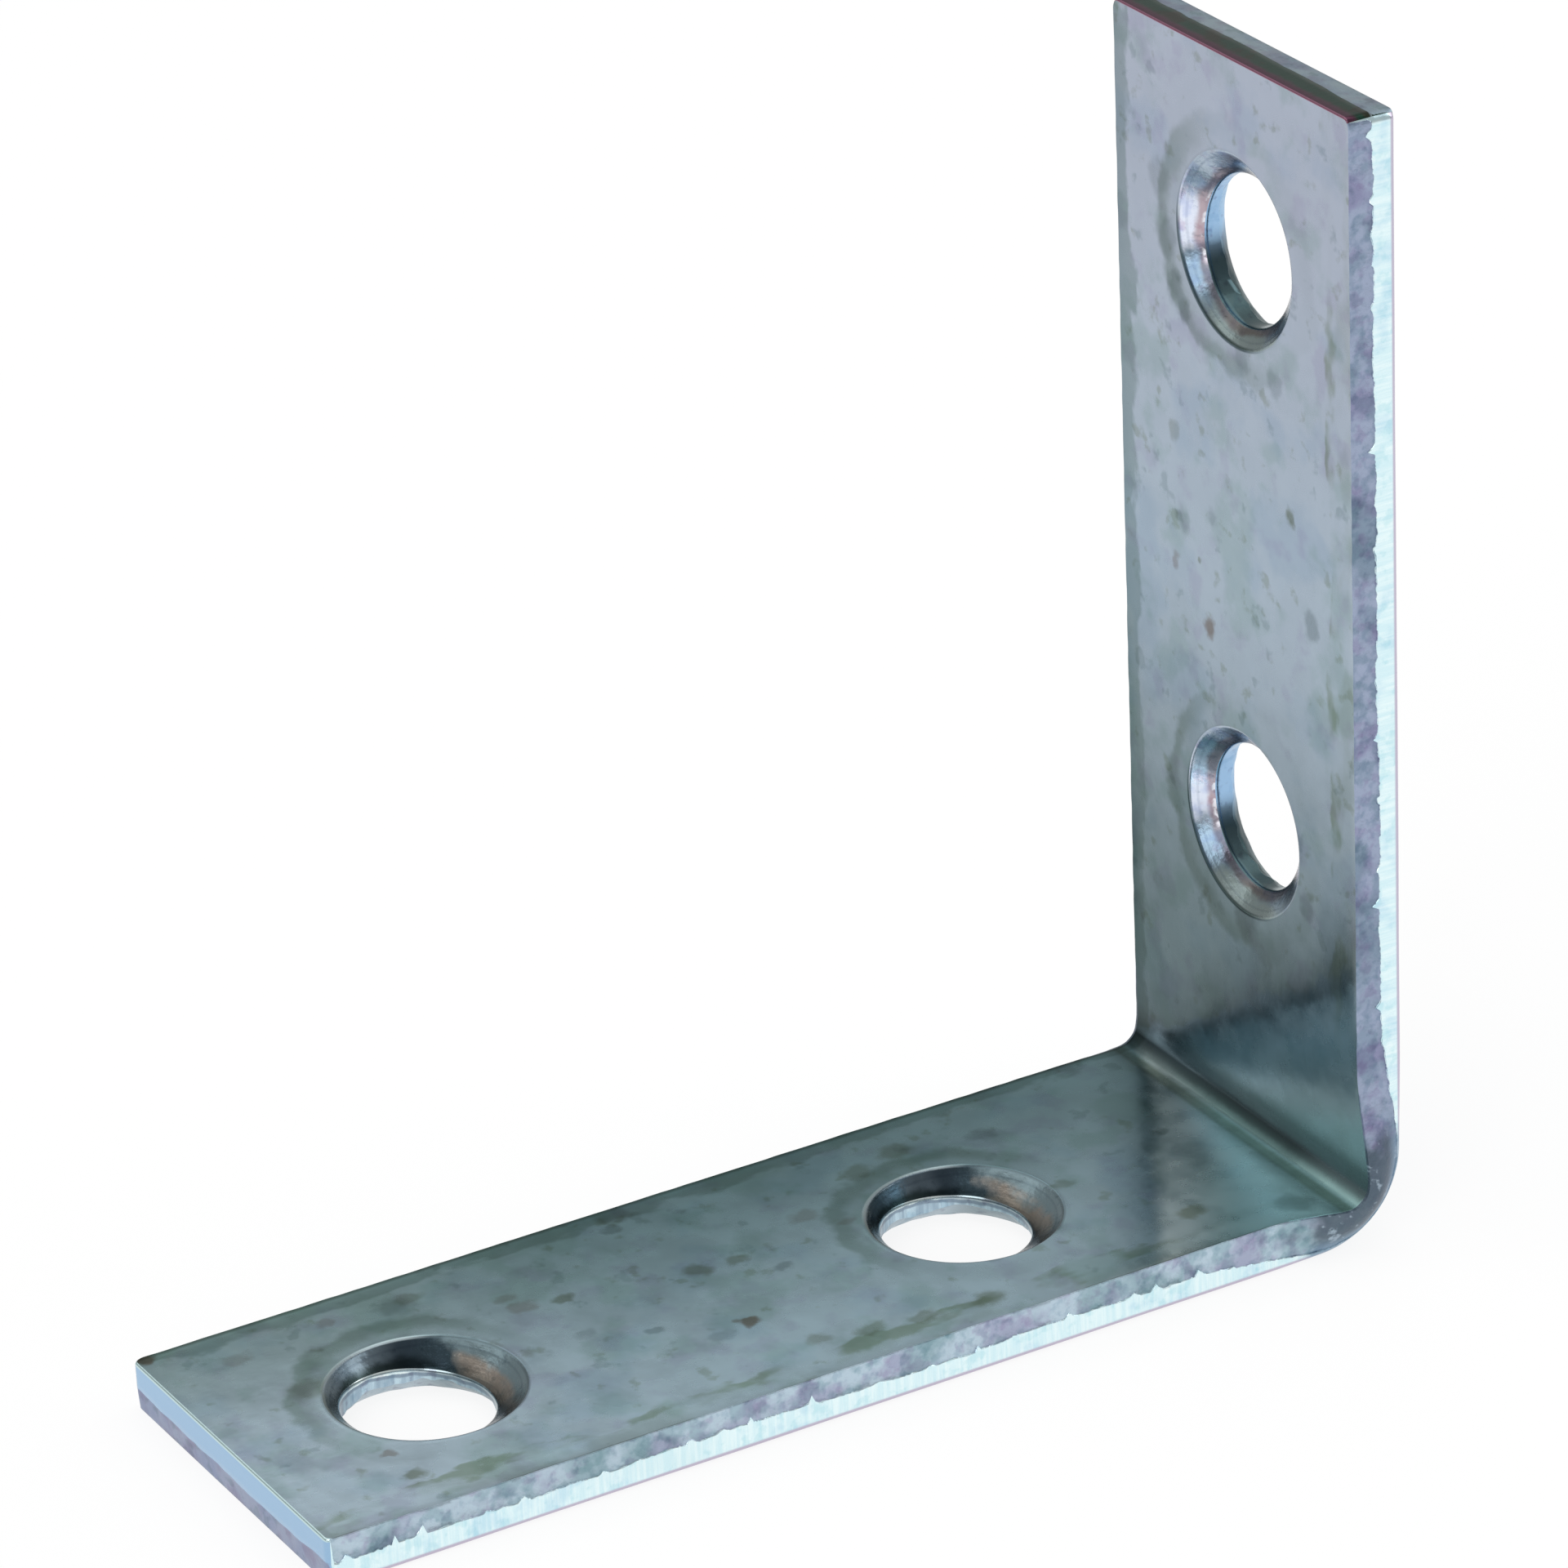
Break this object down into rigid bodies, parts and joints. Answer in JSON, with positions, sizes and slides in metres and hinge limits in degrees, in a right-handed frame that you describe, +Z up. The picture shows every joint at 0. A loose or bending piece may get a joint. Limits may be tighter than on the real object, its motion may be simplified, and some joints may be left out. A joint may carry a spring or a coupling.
{
  "type": "angle bracket",
  "caption": "Flat steel strip folded to a right angle with equal legs and countersunk screw holes, for bracing an inside corner.",
  "frame": {"origin": "middle of the footprint, on the surface that the base leg lies on", "axes": "+X along the base leg towards the upright leg, +Y across the strip, +Z up along the upright leg"},
  "size_m": [0.04, 0.0152, 0.0396],
  "materials": {
    "zinc_plated_steel": "bright zinc plating with a blue passivation, sheared edges, light stains"
  },
  "bodies": {
    "root": {"angle_bracket": "zinc_plated_steel"}
  },
  "joints": []
}
